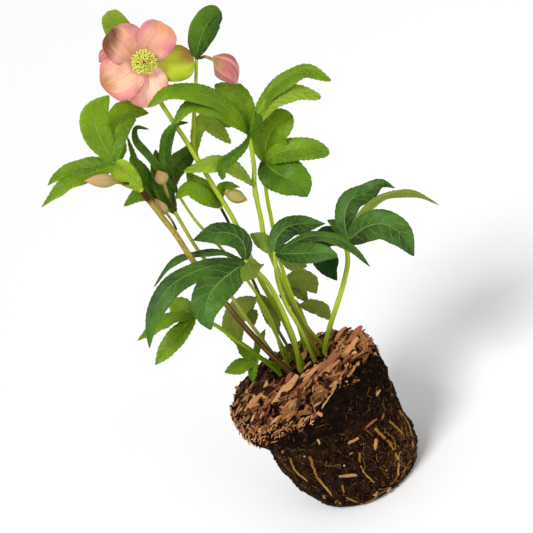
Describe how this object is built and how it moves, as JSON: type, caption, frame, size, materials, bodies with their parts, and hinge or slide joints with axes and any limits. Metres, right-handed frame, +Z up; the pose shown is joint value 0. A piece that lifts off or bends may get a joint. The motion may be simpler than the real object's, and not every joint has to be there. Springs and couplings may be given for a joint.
{
  "type": "hellebore plant",
  "caption": "Hellebore lifted from its pot: moulded root ball with bark chips, palmate saw-edged leaves on long stalks, bracts, nodding buds and an open pink bloom",
  "frame": {"origin": "centre of the root ball's flat underside", "axes": "+Z up along the plant, -Y toward the viewer who faces the bloom, +X to their right"},
  "size_m": [0.2759, 0.1333, 0.4488],
  "materials": {
    "leaf_green": "satin",
    "bract_green": "satin",
    "olive_leaf": "satin",
    "stalk_green": "satin",
    "brown_stem": "satin",
    "soil": "matte",
    "sepal_pink": "satin",
    "stamen_yellow": "matte",
    "bud_pink": "satin",
    "bud_tan": "satin",
    "bud_green": "satin"
  },
  "bodies": {
    "root": {"back_bud": "bud_pink", "back_left_leaf": "olive_leaf", "back_left_leaf_stalk": "stalk_green", "back_right_leaf": "olive_leaf", "back_right_leaf_stalk": "stalk_green", "bloom_bract": "bract_green", "bloom_sepals": "sepal_pink", "bloom_stamens": "stamen_yellow", "centre_leaf": "leaf_green", "centre_leaf_stalk": "stalk_green", "flower_stem": "stalk_green", "fork_leaf": "olive_leaf", "green_bud": "bud_green", "green_bud_bracts": "leaf_green", "green_bud_stem": "brown_stem", "left_bract_stem": "brown_stem", "left_bracts": "bract_green", "left_bud": "bud_tan", "left_leaf": "leaf_green", "left_leaf_stalk": "stalk_green", "low_left_leaf": "bract_green", "low_left_leaf_stalk": "stalk_green", "low_right_leaf": "olive_leaf", "low_right_leaf_stalk": "stalk_green", "pink_bud": "bud_pink", "right_leaf": "leaf_green", "right_leaf_stalk": "stalk_green", "right_shoot_branch": "stalk_green", "right_shoot_stem": "stalk_green", "root_ball": "soil", "shoot_leaves": "bract_green", "shoot_low_leaf": "bract_green", "shoot_top_leaves": "bract_green", "small_left_bud": "bud_tan", "small_left_leaf": "bract_green", "small_left_leaf_stalk": "stalk_green", "tan_bud": "bud_tan", "tan_bud_bracts": "leaf_green", "tan_bud_stem": "stalk_green", "thin_green_stem": "stalk_green", "thin_stem_bracts": "leaf_green", "top_bract": "bract_green"}
  },
  "joints": []
}
